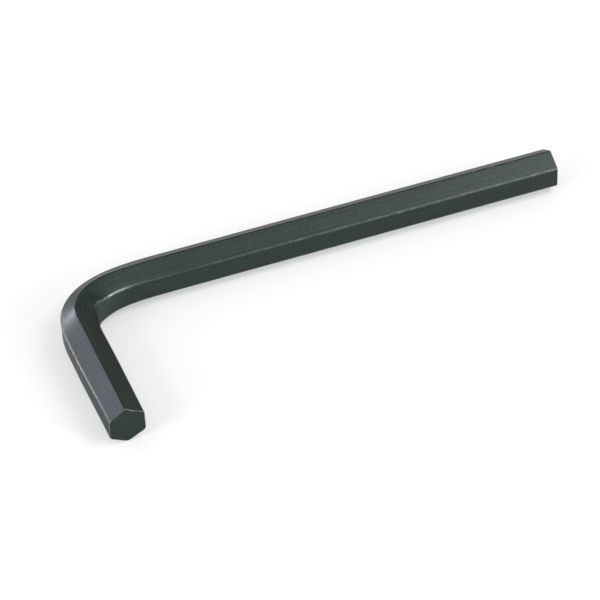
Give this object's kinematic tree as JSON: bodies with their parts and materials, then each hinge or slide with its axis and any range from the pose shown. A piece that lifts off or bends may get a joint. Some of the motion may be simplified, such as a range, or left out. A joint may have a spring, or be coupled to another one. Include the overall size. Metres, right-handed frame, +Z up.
{
  "type": "hex key",
  "caption": "Blackened steel L-shaped key: a hexagonal bar bent through a right angle, with a chamfered drive tip on the long arm and on the short arm.",
  "frame": {"origin": "on the floor, at the middle of the box around the key, which lies on a corner edge of its bar", "axes": "+X along the long arm towards its tip, -Y along the short arm towards its tip, +Z up"},
  "size_m": [0.102, 0.041, 0.0079],
  "materials": {
    "blackened_steel": "oil-blackened drawn steel, satin, worn bright along the corner edges"
  },
  "bodies": {
    "root": {"hex_key": "blackened_steel"}
  },
  "joints": []
}
